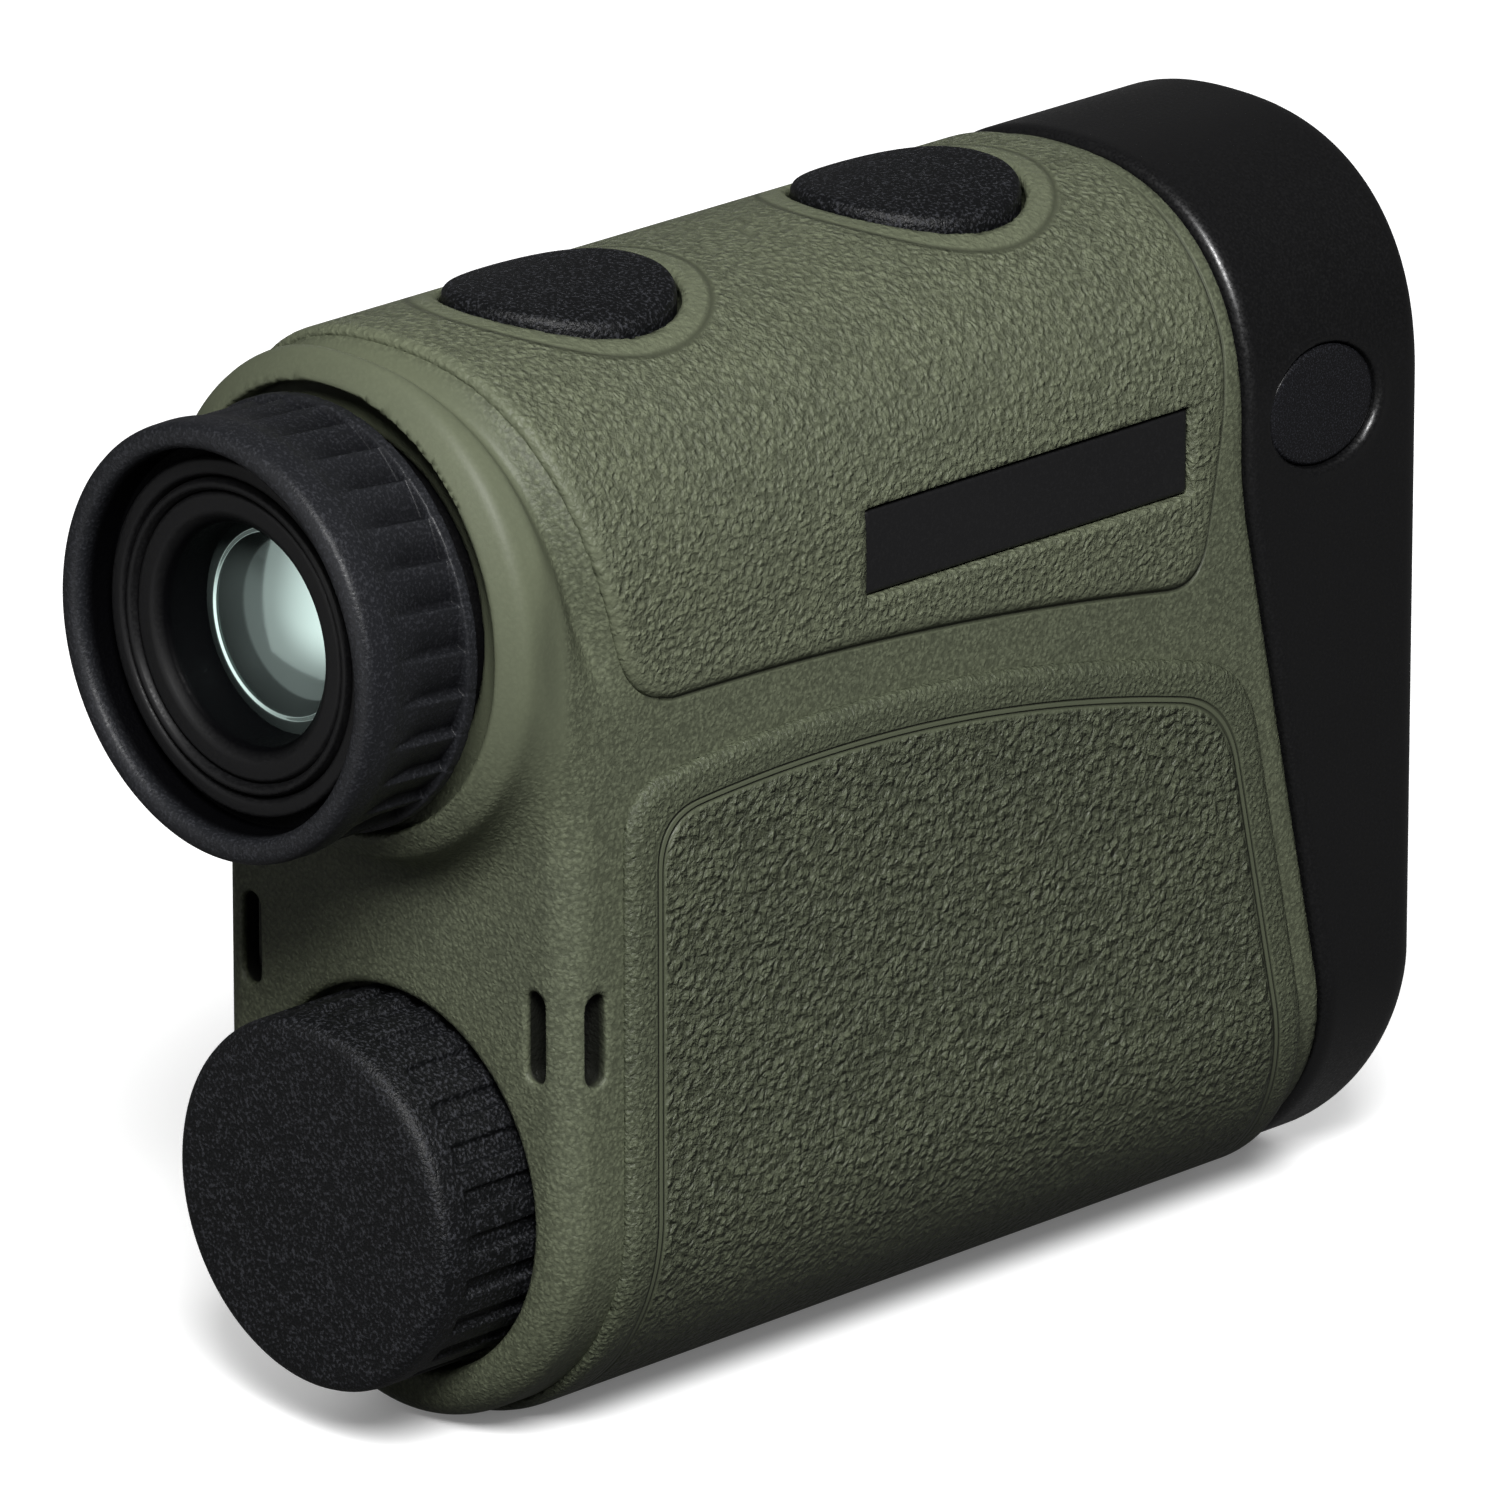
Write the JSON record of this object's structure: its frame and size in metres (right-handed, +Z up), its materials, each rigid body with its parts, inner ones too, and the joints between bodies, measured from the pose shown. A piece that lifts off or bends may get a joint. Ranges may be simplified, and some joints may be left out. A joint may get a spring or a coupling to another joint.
{
  "type": "laser rangefinder",
  "caption": "Pocket laser rangefinder: focusing eyepiece above a screw battery cap, rubber armour and grip, round top buttons, black front bezel.",
  "frame": {"origin": "centre of the bounding box's bottom face; the flat underside stands on Z = 0", "axes": "+Y looks forward along the sight line, -Y is the eyepiece, +X is the user's right side, +Z is up"},
  "size_m": [0.0354, 0.097, 0.0766],
  "materials": {
    "housing_polymer": "olive moulded polymer, fine spark-eroded texture",
    "armour_rubber": "olive soft rubber with a leather grain",
    "grip_rubber": "olive soft rubber with a coarse pebbled grip",
    "plate_black": "satin black",
    "bezel_black": "satin black with a fine grain",
    "badge_dark": "smooth dark disc, blank",
    "black_steel": "blackened steel",
    "coated_glass": "multi-coated, green reflections",
    "anodised_black": "black anodised, finely turned",
    "optic_polymer": "matt black",
    "prism_glass": "polished",
    "spring_steel": "bright",
    "lcd_glass": "clear display glass",
    "can_metal": "satin metal can",
    "board_laminate": "green laminate",
    "chip_black": "matt black",
    "seal_rubber": "smooth",
    "button_rubber": "near black, fine grit texture, satin edge",
    "eyecup_rubber": "near black, fine grit texture",
    "cap_rubber": "near black, grit texture",
    "battery_can": "blue printed sleeve, blank",
    "contact_nickel": "nickel plated brass"
  },
  "bodies": {
    "body": {"housing": "housing_polymer", "upper_armour": "armour_rubber", "grip_wrap": "grip_rubber", "side_plate": "plate_black", "front_bezel": "bezel_black", "badge_disc": "badge_dark", "front_plate": "plate_black", "plate_screws": "black_steel", "objective_lens": "coated_glass", "objective_ring": "anodised_black", "objective_tube": "anodised_black", "prism_housing": "optic_polymer", "roof_prism": "prism_glass", "half_penta_prism": "prism_glass", "prism_clip": "spring_steel", "display_panel": "lcd_glass", "laser_lens": "coated_glass", "laser_ring": "anodised_black", "laser_tube": "optic_polymer", "laser_diode": "can_metal", "receiver_diode": "can_metal", "main_board": "board_laminate", "board_parts": "chip_black", "board_screws": "spring_steel", "switch_board": "board_laminate", "switch_bodies": "chip_black", "button_seals": "seal_rubber", "battery_tube": "optic_polymer", "battery": "battery_can", "contact_plate": "contact_nickel", "contact_spring": "spring_steel"},
    "lens_carrier": {"lens_cell": "anodised_black", "cell_ring": "anodised_black", "eye_lens": "coated_glass", "lens_spacer": "anodised_black", "field_lens": "coated_glass"},
    "focus_ring": {"eyecup": "eyecup_rubber", "eyepiece_barrel": "anodised_black", "barrel_seal": "seal_rubber"},
    "cap_core": {"cap_contact": "contact_nickel"},
    "cap_shell": {"battery_cap": "cap_rubber", "cap_seal": "seal_rubber"},
    "menu_key": {"menu_button": "button_rubber", "menu_plunger": "optic_polymer"},
    "measure_key": {"measure_button": "button_rubber", "measure_plunger": "optic_polymer"}
  },
  "joints": [
    {"name": "focus_travel", "type": "slide", "parent": "body", "child": "lens_carrier", "axis": [0, -1, 0], "range_m": [-0.0015, 0.0015]},
    {"name": "focus_turn", "type": "hinge", "parent": "lens_carrier", "child": "focus_ring", "pos_m": [0, -0.0365, 0.05854], "axis": [0, -1, 0], "range_deg": [-150, 150]},
    {"name": "cap_travel", "type": "slide", "parent": "body", "child": "cap_core", "axis": [0, -1, 0], "range_m": [0, 0.00262]},
    {"name": "cap_turn", "type": "hinge", "parent": "cap_core", "child": "cap_shell", "pos_m": [0, -0.0345, 0.01724], "axis": [0, -1, 0], "range_deg": [0, 630]},
    {"name": "menu_press", "type": "slide", "parent": "body", "child": "menu_key", "axis": [0, 0, -1], "range_m": [0, 0.0005], "stiffness_N_per_m": 1200},
    {"name": "measure_press", "type": "slide", "parent": "body", "child": "measure_key", "axis": [0, 0, -1], "range_m": [0, 0.0005], "stiffness_N_per_m": 1200}
  ],
  "couplings": [
    {"joint": "focus_turn", "follows": "focus_travel", "rad_per_m": 1745},
    {"joint": "cap_turn", "follows": "cap_travel", "rad_per_m": 4189}
  ]
}
